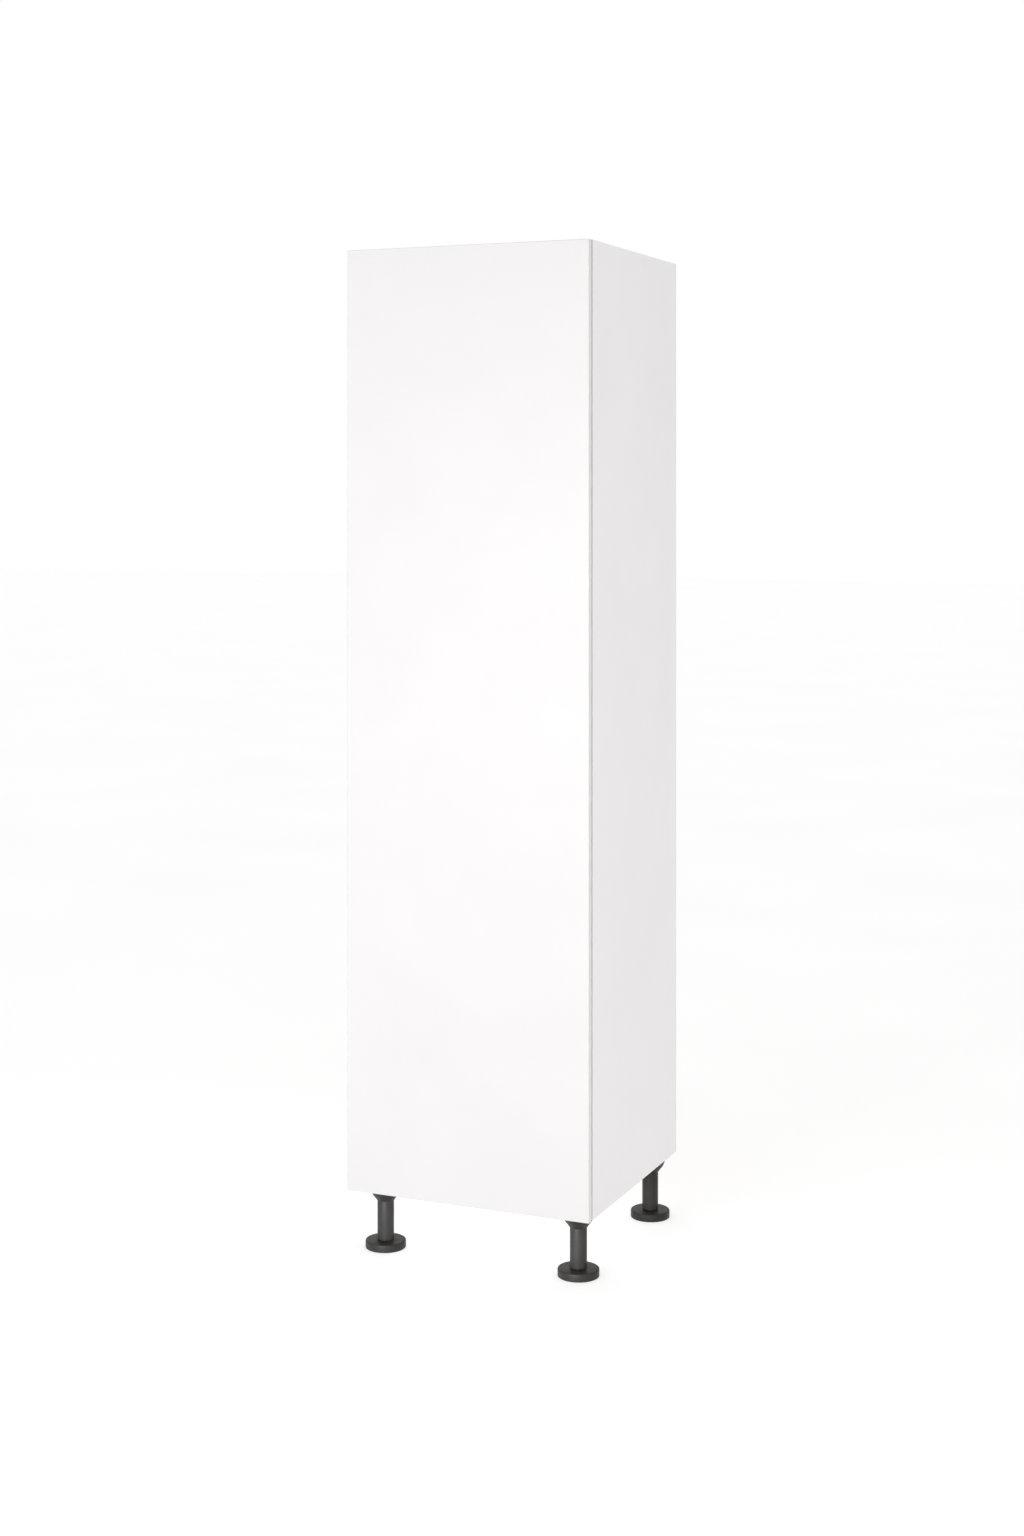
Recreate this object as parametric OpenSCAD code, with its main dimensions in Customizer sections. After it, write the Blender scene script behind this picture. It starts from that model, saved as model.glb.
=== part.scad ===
// Tall kitchen cabinet with one full-height slab door on four adjustable legs.
// Millimetres, +Z up, the door faces -Y. The origin is on the floor, under the
// middle of the cabinet.

/* [Carcass] */
// Outside width of the carcass
cab_w = 600; // [500:10:700]
// Height of the carcass, without the legs
cab_h = 2160; // [2060:20:2300]
// Depth of the carcass, without the door
cab_d = 560; // [500:10:600]
// Thickness of the side, top, bottom and shelf boards
board_t = 16; // [16:1:19]
// Thickness of the edge bands glued to the boards
band_t = 1; // [0.5:0.5:2]

/* [Back] */
// Thickness of the two back panels
back_t = 3; // [2.5:0.5:4]
// Depth of the groove that holds the back panels
groove_depth = 8; // [6:0.5:9]
// Height of each rail behind the back panels
rail_h = 100; // [80:10:140]
// Height of the strip that joins the two back panels
strip_h = 20; // [14:2:30]
// Wall thickness of the joining strip
strip_wall = 1.2; // [1:0.2:2]
// Diameter of the two wall fixing holes in the top rail
wall_hole_d = 6; // [5:0.5:8]
// Distance between the two wall fixing holes
wall_hole_span = 400; // [300:10:420]

/* [Shelves] */
// How far the shelves stand back from the front of the carcass
shelf_inset = 20; // [15:1:30]
// Gap between an adjustable shelf and each side panel
shelf_side_gap = 1; // [0.5:0.25:2]
// Gap between an adjustable shelf and the back panel
shelf_back_gap = 2; // [1:0.5:4]
// Diameter of the shelf pins
pin_d = 5; // [4:0.5:6]
// Depth of the shelf pin holes
pin_hole_depth = 11; // [9:0.5:12]
// Distance of the hole rows from the front and from the back panel
row_inset = 37; // [32:1:45]
// Distance between neighbouring holes of a row
hole_pitch = 32; // [25:1:32]
// Holes above and below each shelf's own hole
spare_holes = 2; // [1:1:3]

/* [Joinery] */
// Diameter of the cam locks
cam_d = 15; // [14:0.5:16]
// Depth of the cam lock bores
cam_depth = 12.5; // [12:0.1:13]
// Distance of the cam lock's centre from the end of its board
cam_reach = 34; // [30:1:38]
// Diameter of the cam bolts
cam_bolt_d = 6; // [5:0.5:7]
// Diameter of the caps that cover the cam locks
cap_d = 18; // [17.5:0.5:20]
// Diameter of the wood dowels
dowel_d = 8; // [6:0.5:8]
// Length of the wood dowels
dowel_l = 30; // [26:1:34]
// Gap between the cam lock caps and the flanges of the legs
cam_clear = 8; // [4:1:20]

/* [Door] */
// Thickness of the door
door_t = 16; // [16:0.5:19]
// Gap between the closed door and the carcass
door_gap = 2.5; // [2.5:0.1:3]
// How far each side edge of the door stands back from the cabinet's side
door_reveal = 1.5; // [1:0.25:2]
// How far the door reaches below the carcass
door_drop = 2; // [0:0.5:4]

/* [Hinges] */
// Distance of the outer hinges from the ends of the carcass
hinge_end = 96; // [80:2:120]
// How far the middle hinge sits above the middle of the carcass
hinge_lift = 100; // [80:4:130]
// Diameter of the hinge cups
cup_d = 35; // [33:0.5:36]
// Distance from the edge of the door to the cup bore
cup_edge = 3; // [2.8:0.05:3.1]
// Diameter of the hinge pins
hinge_pin_d = 2; // [1.8:0.1:2.2]
// Thickness of the hinge arm where it reaches into the cup
neck_t = 1.6; // [1.4:0.1:1.8]
// Width of the hinge arm where it reaches into the cup
neck_w = 7; // [6:0.25:7.5]
// Thickness of the mounting plate's wings
plate_t = 2; // [1.5:0.25:2.5]
// Distance between the two screws of a mounting plate
plate_screw_span = 32; // [28:1:36]
// Distance between the two screws of a hinge cup
cup_screw_span = 45; // [44:1:50]

/* [Push latches] */
// Thickness of the latch housing, out from the side panel
latch_w = 14; // [14:0.5:18]
// Height of the latch housing
latch_h = 20; // [18:1:26]
// Length of the latch housing, front to back
latch_l = 76; // [72:1:90]
// Diameter of the latch plunger
plunger_d = 8; // [7:0.5:8.5]
// How far the plunger comes out as the door opens
plunger_travel = 20; // [14:1:22]

/* [Legs] */
// Height of the carcass above the floor
leg_h = 150; // [140:1:170]
// Distance of the front legs' axes from the sides of the cabinet
leg_side_front = 59; // [49:1:80]
// Distance of the back legs' axes from the sides of the cabinet
leg_side_back = 50; // [49:1:80]
// Distance of the front legs' axes from the front of the carcass
leg_front = 64; // [50:1:90]
// Distance of the back legs' axes from the back of the carcass
leg_back = 48; // [48:1:90]
// Diameter of the foot discs
foot_d = 94; // [80:1:94]
// Thickness of the foot discs
foot_t = 18; // [14:1:22]
// Radius on the edges of the foot discs
foot_edge_r = 3; // [1:0.5:5]
// Outside diameter of the leg columns
column_d = 38.5; // [34:0.5:40]
// Wall thickness of the leg columns
column_wall = 3; // [2:0.5:5]
// Diameter of the threaded stem on each foot
stem_d = 16; // [12:0.5:20]
// Height of the leg sockets
socket_h = 40; // [34:1:46]
// Diameter of the flange of a leg socket
socket_flange_d = 77; // [76:1:84]
// Distance from the leg's axis to the flat side of its flange
socket_flat = 31; // [30:1:34]

/* [Fits] */
// Gap all round a fastener or a tube in its hole
fit_gap = 0.05; // [0.02:0.01:0.1]
// Gap all round a pin or rod that moves in its hole
run_gap = 0.05; // [0.02:0.01:0.1]
// Gap between a seat and a piece that rests close to it
seat_gap = 0.3; // [0.2:0.05:0.5]
// Gap between the bottom of a column and its foot disc
foot_gap = 1; // [0.8:0.1:2]

/* [Hidden] */
$fn = 48;
eps = 0.5;
tip_gap = 0.5;
slot_w = 1;

// The carcass in the floor frame
x_in = cab_w / 2 - board_t;
total_d = cab_d + door_gap + door_t;
y_back = total_d / 2;
y_front = y_back - cab_d;
y_board = y_front + band_t;
z_base = leg_h;
z_floor = z_base + board_t;
z_top = z_base + cab_h;
z_roof = z_top - board_t;
inner_h = z_roof - z_floor;
band_gap = 0.1;

// The back panels in their grooves
groove_gap = 0.1;
rail_y = y_back - board_t;
back_y = rail_y - groove_gap - back_t;
back_reach = groove_depth - tip_gap;
strip_y = back_y - groove_gap - strip_wall;

// Six compartments part five shelves, the third of which is fixed
shelf_count = 5;
fixed_index = 3;
bay_h = (inner_h - shelf_count * board_t) / (shelf_count + 1);
function shelf_z(i) = z_floor + i * bay_h + (i - 1) * board_t;
function bay_mid(i) = z_floor + (i - 0.5) * bay_h + (i - 1) * board_t;
loose_shelves = [for (i = [1:shelf_count]) if (i != fixed_index) i];
split_z = shelf_z(fixed_index) + board_t / 2;
fixed_back = strip_y - seat_gap;
shelf_y = y_front + shelf_inset;
row_front = y_front + row_inset;
row_back = back_y - row_inset;

// Shelf pins, each with a flat-topped head under the shelf
pin_head_r = pin_d * 0.9;
pin_head_flat = pin_d * 0.3;
pin_head_l = 8;
pin_collar_t = 1.5;
pin_collar_r = pin_d * 0.95;

// Joints of the fixed boards with the side panels
joint_z = [z_base + board_t / 2, split_z, z_roof + board_t / 2];
cam_offset = socket_flange_d / 2 + cam_clear + cap_d / 2;
cam_ys = [y_front + leg_front + cam_offset, y_back - leg_back - cam_offset];
dowel_step = 32;
dowel_ys = [cam_ys[0] + dowel_step, cam_ys[1] - dowel_step];
dowel_in_side = 10;
dowel_x = x_in - dowel_l + dowel_in_side;
side_hole_depth = dowel_in_side + tip_gap;
bolt_in_side = 10;
bolt_neck_d = cam_bolt_d * 0.5;
bolt_neck_l = 5;
bolt_head_l = 2;
bolt_hole_r = cam_bolt_d / 2 + 1;
cam_sink = 0.2;
cam_t = cam_depth - cam_sink - 0.1;
cam_mouth_r = cam_bolt_d / 2 + 0.6;
cam_slot_l = 10;
cam_slot_w = 1.6;
cam_slot_t = 2;
cap_t = 0.8;

// Rails behind the back panels, each on two dowels an end
rail_mid_y = y_back - board_t / 2;
rail_z = [z_floor + rail_h / 2, split_z, z_roof - rail_h / 2];
rail_dowel_dz = rail_h / 4;

// The closed door
door_x = cab_w / 2 - door_reveal;
door_back_y = y_front - door_gap;
door_front_y = door_back_y - door_t;
door_z = z_base - door_drop;

// Hinges on the left: u runs in from the cabinet's side, v out from its front
hinge_zs = [
    for (i = [0:4])
        z_base + hinge_end + i * (cab_h - 2 * hinge_end) / 4 + (i == 2 ? hinge_lift : 0)
];
cup_u = door_reveal + cup_edge + cup_d / 2;
cup_r = cup_d / 2 - 2 * fit_gap;
cup_wall = 1;
cup_in_r = cup_r - cup_wall;

// The pin sits by the cup's outer wall, just deep enough in the door that the
// door's back edge clears the carcass as it turns
eye_r = hinge_pin_d / 2 + 1.1;
eye_gap = 0.2;
swing_gap = 0.3;
pivot_u = cup_u - sqrt(pow(cup_in_r, 2) - pow(neck_w / 2, 2)) + eye_gap + eye_r;
pivot_edge = pivot_u - door_reveal;
swing_reach = door_gap - swing_gap;
pivot_depth = (pow(pivot_edge, 2) - pow(swing_reach, 2)) / (2 * swing_reach);
pivot_v = door_gap + pivot_depth;
cup_floor_v = pivot_v + eye_r + 2 * eye_gap + cup_wall;
cup_depth = cup_floor_v - door_gap + 0.2;
flange_t = 1;
flange_v = door_gap - flange_t;
flange_w = 2.1;
flange_r = cup_r + flange_w;
flange_edge = 2.5;
cup_screw_u = cup_u + 9.5;
cup_screw_d = 3.4;
cup_screw_depth = 11;
cup_screw_head = [6.4, 1.2];
wing_r = 5.5;
cheek_gap = 0.6;
cheek_sink = 2;
cheek_u = pivot_u + eye_r + 2.5;
neck_u = cup_u - 1.8;
neck_bend = 2.2;
neck_knee_v = -3;
ridge_u = board_t + plate_t;
ridge_h = 6;
ridge_w = 12;
arm_gap = 0.3;
arm_wall = 1.2;
arm_u = ridge_u + ridge_h + arm_gap;
arm_w = ridge_w + 2 * (arm_gap + arm_wall);

// A mounting plate about its screws, which stand in the front row of holes
plate_v = -row_inset;
plate_ahead = 12;
plate_behind = 33;
plate_edge = 3;
plate_pad_r = 7;
plate_front = plate_v + plate_ahead;
plate_back = plate_v - plate_behind;
arm_overhang = 4;
arm_short = 2;
arm_front = plate_front + arm_overhang;
arm_back = plate_back + arm_short;
plate_screw_d = 4.9;
plate_screw_depth = 10.5;
plate_screw_head = [9, 2];
adjust_d = 5;
adjust_head = [8, 1.6];
adjust_ahead = 7;
adjust_behind = 20;
adjust_vs = [plate_v + adjust_ahead, plate_v - adjust_behind];

// Push latches on the right side panel, level with the two middle bays
latch_zs = [bay_mid(fixed_index), bay_mid(fixed_index + 1)];
latch_x = x_in - latch_w / 2;
latch_y = y_front + 4;
collar_step = 1.2;
latch_bore_r = plunger_d / 2 + collar_step;
latch_wall = 6;
strike_t = 1;
strike_r = 8;
plunger_tip = door_back_y + strike_t + seat_gap;
plunger_spare = 6;
plunger_foot = latch_y + latch_wall + plunger_travel + plunger_spare;
plunger_collar_l = 3;
spring_wire = 0.8;
spring_turns = 8;
ear_t = 3;
ear_l = 12;
ear_h = 10;
ear_z = (latch_h + ear_h) / 2;
ear_y = latch_y + latch_l / 2;
ear_screw_d = 3;
ear_screw_head = [6, 1.5];
bumper_r = 4;
bumper_in = 8;

// Legs, the front pair first, each pair from left to right
leg_rows = [
    [cab_w / 2 - leg_side_front, y_front + leg_front],
    [cab_w / 2 - leg_side_back, y_back - leg_back]
];
leg_places = [for (row = leg_rows) for (side = [-1, 1]) [side * row[0], row[1]]];
rim_h = 13;
rim_bevel = [2.5, 4.5];
flange_h = 29;
collar_r = socket_flange_d / 2 - 9.5;
socket_roof = 4;
column_top = leg_h - socket_roof - 1;
column_base = foot_t + foot_gap;
column_bevel = 0.8;
stem_bed = 26;
stem_top = column_base + stem_bed + 8;
stem_bevel = 1;
leg_screw_d = 4;
leg_screw_head = [7, 2];
leg_screw_r = collar_r + leg_screw_head[0] / 2 + 1.2;
leg_screw_seat = 4;
leg_screw_depth = board_t - 4;

// A box from its low corner to its high corner
module block(low, high) {
    translate(low)
        cube(high - low);
}

// A round bar or hole that starts at a point and runs along +X, +Y or +Z
module bar_x(start, r, l) {
    translate(start)
        rotate([0, 90, 0])
            cylinder(r = r, h = l);
}

module bar_y(start, r, l) {
    translate(start)
        rotate([-90, 0, 0])
            cylinder(r = r, h = l);
}

module bar_z(start, r, l) {
    translate(start)
        cylinder(r = r, h = l);
}

// Draws for one side of the cabinet: -1 is the left, 1 is the right
module on_side(side) {
    if (side > 0)
        children();
    else
        mirror([1, 0, 0])
            children();
}

// Side panels

module side_panel_holes() {
    for (y = [row_front, row_back])
        for (i = loose_shelves)
            for (k = [-spare_holes:spare_holes])
                bar_x(
                    [x_in - eps, y, shelf_z(i) - pin_head_flat + k * hole_pitch],
                    pin_d / 2 + fit_gap, pin_hole_depth + eps
                );
    for (z = hinge_zs)
        for (s = [-1, 1])
            bar_x(
                [x_in - eps, row_front, z + s * plate_screw_span / 2],
                plate_screw_d / 2 + fit_gap, plate_screw_depth + eps
            );
    for (z = joint_z) {
        for (y = cam_ys)
            bar_x([x_in - eps, y, z], cam_bolt_d / 2 + fit_gap, side_hole_depth + eps);
        for (y = dowel_ys)
            bar_x([x_in - eps, y, z], dowel_d / 2 + fit_gap, side_hole_depth + eps);
    }
    for (z = rail_z)
        for (s = [-1, 1])
            bar_x(
                [x_in - eps, rail_mid_y, z + s * rail_dowel_dz],
                dowel_d / 2 + fit_gap, side_hole_depth + eps
            );
}

// A side panel seen as the right one, with its groove for the back panels
module side_panel() {
    difference() {
        block([x_in, y_board, z_base], [cab_w / 2, y_back, z_top]);
        block(
            [x_in - eps, back_y - groove_gap, z_base - eps],
            [x_in + groove_depth, rail_y, z_top + eps]
        );
        side_panel_holes();
    }
}

module latch_screw_holes() {
    for (z = latch_zs)
        for (s = [-1, 1])
            bar_x(
                [x_in - eps, ear_y, z + s * ear_z],
                ear_screw_d / 2 + fit_gap, pin_hole_depth + eps
            );
}

module side_panel_left() {
    color("white")
        on_side(-1)
            side_panel();
}

module side_panel_right() {
    color("white")
        difference() {
            side_panel();
            latch_screw_holes();
        }
}

// Top, bottom and fixed shelf

// Bores at both ends of a fixed board whose underside is at z, cams from below
module board_bores(z) {
    for (side = [-1, 1])
        on_side(side) {
            for (y = cam_ys) {
                bar_x([x_in - cam_reach, y, z + board_t / 2], bolt_hole_r, cam_reach + eps);
                bar_z([x_in - cam_reach, y, z - eps], cam_d / 2, cam_depth + eps);
            }
            for (y = dowel_ys)
                bar_x([dowel_x - tip_gap, y, z + board_t / 2], dowel_d / 2 + fit_gap, dowel_l);
        }
}

module top_panel() {
    color("white")
        difference() {
            block([-x_in, y_board, z_roof], [x_in, y_back, z_top]);
            block(
                [-x_in - eps, back_y - groove_gap, z_roof - eps],
                [x_in + eps, rail_y, z_roof + groove_depth]
            );
            board_bores(z_roof);
        }
}

module bottom_panel() {
    color("white")
        difference() {
            block([-x_in, y_board, z_base], [x_in, y_back, z_floor]);
            block(
                [-x_in - eps, back_y - groove_gap, z_floor - groove_depth],
                [x_in + eps, rail_y, z_floor + eps]
            );
            board_bores(z_base);
            for (p = leg_places)
                at_leg_screws(p)
                    bar_z([0, 0, z_base - eps], leg_screw_d / 2 + fit_gap, leg_screw_depth + eps);
        }
}

module fixed_shelf() {
    z = shelf_z(fixed_index);
    color("white")
        difference() {
            block([-x_in, shelf_y + band_t, z], [x_in, fixed_back, z + board_t]);
            board_bores(z);
        }
}

// An adjustable shelf, counted from the bottom among all five
module loose_shelf(i) {
    x = x_in - shelf_side_gap;
    color("white")
        block(
            [-x, shelf_y + band_t, shelf_z(i)],
            [x, back_y - shelf_back_gap, shelf_z(i) + board_t]
        );
}

module shelf_1() {
    loose_shelf(loose_shelves[0]);
}

module shelf_2() {
    loose_shelf(loose_shelves[1]);
}

module shelf_3() {
    loose_shelf(loose_shelves[2]);
}

module shelf_4() {
    loose_shelf(loose_shelves[3]);
}

// Back panels, their joining strip and the rails behind them

module wall_holes() {
    for (s = [-1, 1])
        bar_y(
            [s * wall_hole_span / 2, back_y - eps, rail_z[2]],
            wall_hole_d / 2, y_back - back_y + 2 * eps
        );
}

module back_panel_lower() {
    x = x_in + back_reach;
    color("white")
        block(
            [-x, back_y, z_floor - back_reach],
            [x, back_y + back_t, split_z - strip_wall / 2 - groove_gap]
        );
}

module back_panel_upper() {
    x = x_in + back_reach;
    color("white")
        difference() {
            block(
                [-x, back_y, split_z + strip_wall / 2 + groove_gap],
                [x, back_y + back_t, z_roof + back_reach]
            );
            wall_holes();
        }
}

// The strip stands across the middle rail's face, so the rail is cut away for it
module back_joint_strip() {
    x = x_in - seat_gap;
    y_low = strip_y;
    y_high = back_y + back_t + groove_gap + strip_wall;
    color("white") {
        difference() {
            block([-x, y_low, split_z - strip_h / 2], [x, y_high, split_z + strip_h / 2]);
            for (s = [0, 1])
                mirror([0, 0, s])
                    translate([0, 0, s * -2 * split_z])
                        block(
                            [-x - eps, y_low + strip_wall, split_z + strip_wall / 2],
                            [x + eps, y_high - strip_wall, split_z + strip_h / 2 + eps]
                        );
        }
    }
}

module wall_rail(i) {
    z = rail_z[i];
    difference() {
        block([-x_in, rail_y, z - rail_h / 2], [x_in, y_back, z + rail_h / 2]);
        for (side = [-1, 1])
            on_side(side)
                for (s = [-1, 1])
                    bar_x(
                        [dowel_x - tip_gap, rail_mid_y, z + s * rail_dowel_dz],
                        dowel_d / 2 + fit_gap, dowel_l
                    );
        children();
    }
}

module wall_rail_bottom() {
    color("white")
        wall_rail(0);
}

module wall_rail_middle() {
    h = strip_h / 2 + seat_gap;
    color("white")
        wall_rail(1)
            block(
                [-x_in - eps, rail_y - eps, split_z - h],
                [x_in + eps, rail_y + strip_wall + groove_gap + seat_gap, split_z + h]
            );
}

module wall_rail_top() {
    color("white")
        wall_rail(2)
            wall_holes();
}

// Edge bands

module carcass_edge_bands() {
    color("gainsboro") {
        for (side = [-1, 1])
            on_side(side)
                block([x_in, y_front, z_base], [cab_w / 2, y_board, z_top]);
        for (z = [z_base, z_roof])
            block(
                [-x_in + band_gap, y_front, z],
                [x_in - band_gap, y_board, z + board_t]
            );
    }
}

module shelf_edge_bands() {
    color("gainsboro")
        for (i = [1:shelf_count]) {
            x = i == fixed_index ? x_in : x_in - shelf_side_gap;
            block([-x, shelf_y, shelf_z(i)], [x, shelf_y + band_t, shelf_z(i) + board_t]);
        }
}

// Cam locks, bolts, caps, dowels and shelf pins

module at_joints(ys) {
    for (z = joint_z)
        for (side = [-1, 1])
            on_side(side)
                for (y = ys)
                    translate([0, y, z])
                        children();
}

// A cam lock, turned from below, with a side mouth for the bolt's head
module cam_locks() {
    r = cam_d / 2 - fit_gap;
    z_low = -board_t / 2;
    color("silver")
        at_joints(cam_ys)
            translate([x_in - cam_reach, 0, 0])
                difference() {
                    bar_z([0, 0, z_low + cam_sink], r, cam_t);
                    bar_x([-bolt_hole_r, 0, 0], cam_mouth_r, cam_d);
                    for (turn = [0, 90])
                        rotate([0, 0, turn])
                            block(
                                [-cam_slot_l / 2, -cam_slot_w / 2, z_low - eps],
                                [cam_slot_l / 2, cam_slot_w / 2, z_low + cam_slot_t]
                            );
                }
}

module cam_bolts() {
    head_x = x_in - cam_reach - 1;
    neck_x = head_x + bolt_head_l;
    shank_x = neck_x + bolt_neck_l;
    color("silver")
        at_joints(cam_ys)
            rotate([0, 90, 0])
                rotate_extrude()
                    polygon([
                        [0, head_x],
                        [cam_bolt_d / 2, head_x],
                        [cam_bolt_d / 2, neck_x],
                        [bolt_neck_d / 2, neck_x],
                        [bolt_neck_d / 2, shank_x],
                        [cam_bolt_d / 2, shank_x],
                        [cam_bolt_d / 2, x_in + bolt_in_side],
                        [0, x_in + bolt_in_side]
                    ]);
}

module cam_caps() {
    color("white")
        at_joints(cam_ys)
            bar_z([x_in - cam_reach, 0, -board_t / 2 - cap_t], cap_d / 2, cap_t);
}

module wood_dowels() {
    color("burlywood") {
        at_joints(dowel_ys)
            bar_x([dowel_x, 0, 0], dowel_d / 2, dowel_l);
        for (z = rail_z)
            for (side = [-1, 1])
                on_side(side)
                    for (s = [-1, 1])
                        bar_x([dowel_x, rail_mid_y, z + s * rail_dowel_dz], dowel_d / 2, dowel_l);
    }
}

// A shelf pin along +X with its flat under the shelf at z = 0
module shelf_pin() {
    drop = pin_head_flat;
    color("silver")
        difference() {
            union() {
                bar_x([0, 0, -drop], pin_d / 2, pin_hole_depth - tip_gap);
                bar_x([-pin_collar_t, 0, -drop], pin_collar_r, pin_collar_t);
                bar_x([-pin_head_l, 0, -drop], pin_head_r, pin_head_l);
            }
            block([-pin_head_l - eps, -pin_d, 0], [0, pin_d, pin_d]);
        }
}

module shelf_pins() {
    for (i = loose_shelves)
        for (side = [-1, 1])
            on_side(side)
                for (y = [row_front, row_back])
                    translate([x_in, y, shelf_z(i)])
                        shelf_pin();
}

// Hinges

// Puts a drawing made in u, v and height at every hinge of the left side
module at_hinges() {
    for (z = hinge_zs)
        translate([-cab_w / 2, y_front, z])
            mirror([0, 1, 0])
                children();
}

// The wings of the mounting plate, seen along u
module plate_outline() {
    translate([plate_back, -ridge_w / 2 - plate_edge])
        square([plate_front - plate_back, ridge_w + 2 * plate_edge]);
    translate([plate_v - plate_pad_r, -plate_screw_span / 2])
        square([2 * plate_pad_r, plate_screw_span]);
    for (s = [-1, 1])
        translate([plate_v, s * plate_screw_span / 2])
            circle(r = plate_pad_r);
}

module hinge_plates() {
    color("silver")
        at_hinges()
            difference() {
                union() {
                    translate([board_t, 0, 0])
                        rotate([90, 0, 90])
                            linear_extrude(plate_t)
                                plate_outline();
                    block(
                        [ridge_u, plate_back, -ridge_w / 2],
                        [ridge_u + ridge_h, plate_front, ridge_w / 2]
                    );
                }
                for (s = [-1, 1])
                    bar_x(
                        [board_t - eps, plate_v, s * plate_screw_span / 2],
                        plate_screw_d / 2 + fit_gap, plate_t + 2 * eps
                    );
                for (v = adjust_vs)
                    bar_x([ridge_u, v, 0], adjust_d / 2 + fit_gap, ridge_h + eps);
            }
}

// A cross-slotted head with its screw, the head's underside at the origin
module screw_x(d, l, head) {
    head_d = head[0];
    head_t = head[1];
    difference() {
        union() {
            bar_x([-l, 0, 0], d / 2, l);
            bar_x([0, 0, 0], head_d / 2, head_t);
        }
        for (turn = [0, 90])
            rotate([turn, 0, 0])
                block(
                    [head_t * 0.4, -slot_w / 2, -head_d / 4],
                    [head_t + eps, slot_w / 2, head_d / 4]
                );
    }
}

module hinge_plate_screws() {
    color("silver")
        at_hinges()
            for (s = [-1, 1])
                translate([ridge_u, plate_v, s * plate_screw_span / 2])
                    screw_x(
                        plate_screw_d, plate_t + plate_screw_depth - tip_gap, plate_screw_head
                    );
}

// The arm seen along its pin: an eye, a bent neck and a long flat top
module arm_outline() {
    h = neck_t / 2;
    bend_u = neck_u - neck_bend;
    bend_v = pivot_v - neck_bend;
    translate([pivot_u, pivot_v])
        circle(r = eye_r);
    translate([pivot_u, pivot_v - h])
        square([bend_u - pivot_u, neck_t]);
    intersection() {
        translate([bend_u, bend_v])
            difference() {
                circle(r = neck_bend + h);
                circle(r = neck_bend - h);
            }
        translate([bend_u, bend_v])
            square(neck_bend + neck_t);
    }
    translate([neck_u - h, neck_knee_v])
        square([neck_t, bend_v - neck_knee_v]);
    polygon([
        [neck_u - h, neck_knee_v],
        [neck_u + h, neck_knee_v],
        [arm_u + arm_wall, arm_front],
        [arm_u, arm_front]
    ]);
}

module hinge_arms() {
    color("silver")
        at_hinges()
            difference() {
                union() {
                    translate([0, 0, -neck_w / 2])
                        linear_extrude(neck_w)
                            arm_outline();
                    block(
                        [arm_u, arm_back, -arm_w / 2],
                        [arm_u + arm_wall, arm_front, arm_w / 2]
                    );
                    for (s = [0, 1])
                        mirror([0, 0, s])
                            block(
                                [ridge_u + arm_gap, arm_back, arm_w / 2 - arm_wall],
                                [arm_u + arm_wall, arm_front, arm_w / 2]
                            );
                }
                bar_z([pivot_u, pivot_v, -neck_w], hinge_pin_d / 2 + run_gap, 2 * neck_w);
                for (v = adjust_vs)
                    bar_x([arm_u - eps, v, 0], adjust_d / 2 + fit_gap, arm_wall + 2 * eps);
            }
}

module hinge_adjust_screws() {
    color("silver")
        at_hinges()
            for (v = adjust_vs)
                translate([arm_u + arm_wall, v, 0])
                    screw_x(adjust_d, arm_wall + ridge_h, adjust_head);
}

// The rim of the cup and its two screw wings, seen along v
module flange_outline() {
    intersection() {
        translate([cup_u, 0])
            circle(r = flange_r);
        translate([door_reveal + flange_edge, -flange_r])
            square([2 * flange_r, 2 * flange_r]);
    }
    translate([cup_screw_u - wing_r, -cup_screw_span / 2])
        square([2 * wing_r, cup_screw_span]);
    for (s = [-1, 1])
        translate([cup_screw_u, s * cup_screw_span / 2])
            circle(r = wing_r);
}

// A cup with a cheek on each side of the arm to hold the pin's ends
module hinge_cups() {
    cheek_z = neck_w / 2 + cheek_gap;
    color("silver")
        at_hinges()
            difference() {
                union() {
                    difference() {
                        union() {
                            bar_y([cup_u, flange_v, 0], cup_r, cup_floor_v - flange_v);
                            translate([0, door_gap, 0])
                                rotate([90, 0, 0])
                                    linear_extrude(flange_t)
                                        flange_outline();
                        }
                        bar_y(
                            [cup_u, flange_v - eps, 0],
                            cup_in_r, cup_floor_v - cup_wall - flange_v + eps
                        );
                    }
                    intersection() {
                        bar_y([cup_u, 0, 0], cup_r - cup_wall / 2, cup_floor_v - cup_wall / 2);
                        for (s = [0, 1])
                            mirror([0, 0, s])
                                block(
                                    [0, door_gap + cheek_sink, cheek_z],
                                    [cheek_u, cup_floor_v, cup_r]
                                );
                    }
                }
                bar_z([pivot_u, pivot_v, -cup_r], hinge_pin_d / 2 + fit_gap / 2, 2 * cup_r);
                for (s = [-1, 1])
                    bar_y(
                        [cup_screw_u, flange_v - eps, s * cup_screw_span / 2],
                        cup_screw_d / 2 + fit_gap, flange_t + 2 * eps
                    );
            }
}

// Each pin ends just inside the outer wall of its cup
module hinge_pins() {
    reach = sqrt(pow(cup_in_r, 2) - pow(cup_u - pivot_u, 2));
    color("silver")
        at_hinges()
            bar_z([pivot_u, pivot_v, -reach], hinge_pin_d / 2, 2 * reach);
}

module hinge_cup_screws() {
    color("silver")
        at_hinges()
            for (s = [-1, 1])
                translate([cup_screw_u, flange_v, s * cup_screw_span / 2])
                    rotate([0, 0, -90])
                        screw_x(
                            cup_screw_d, flange_t + cup_screw_depth - tip_gap, cup_screw_head
                        );
}

// Door

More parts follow.
